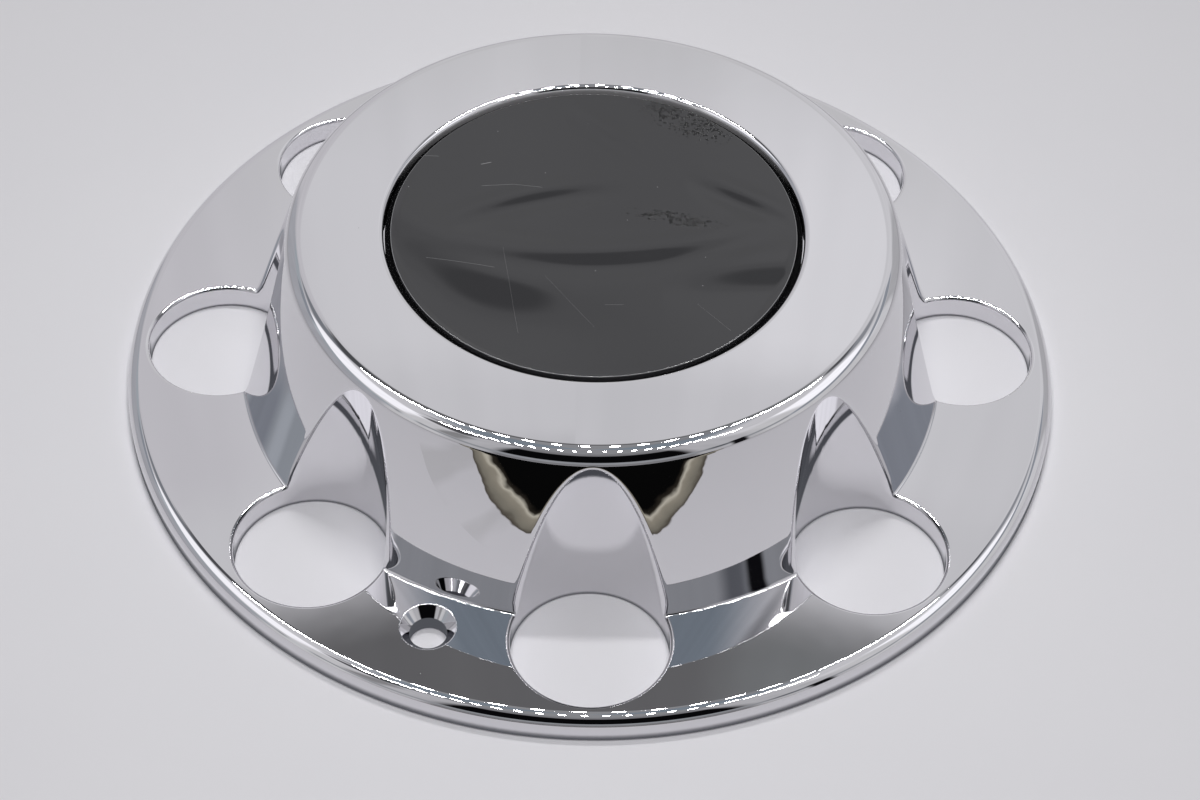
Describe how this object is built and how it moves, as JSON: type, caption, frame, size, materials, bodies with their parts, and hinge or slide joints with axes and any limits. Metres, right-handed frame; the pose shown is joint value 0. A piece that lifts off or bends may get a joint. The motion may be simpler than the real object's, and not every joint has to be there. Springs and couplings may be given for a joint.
{
  "type": "wheel center cap",
  "caption": "Bright-plated bolt-on wheel center cap: a flange with lug openings, a conical drum scalloped by them and a black disc on its face.",
  "frame": {"origin": "centre of the back plane, on the wheel's axis", "axes": "+Z out of the cap's face, away from the wheel; a lug opening lies on -Y"},
  "size_m": [0.2066, 0.2066, 0.043],
  "materials": {
    "plated_plastic": "bright plated moulding, mirror gloss",
    "gloss_black_plastic": "high gloss with light handling marks",
    "black_foam": "matt closed-cell foam tape"
  },
  "bodies": {
    "root": {"cap_body": "plated_plastic", "adhesive_pad": "black_foam", "emblem_disc": "gloss_black_plastic"}
  },
  "joints": []
}
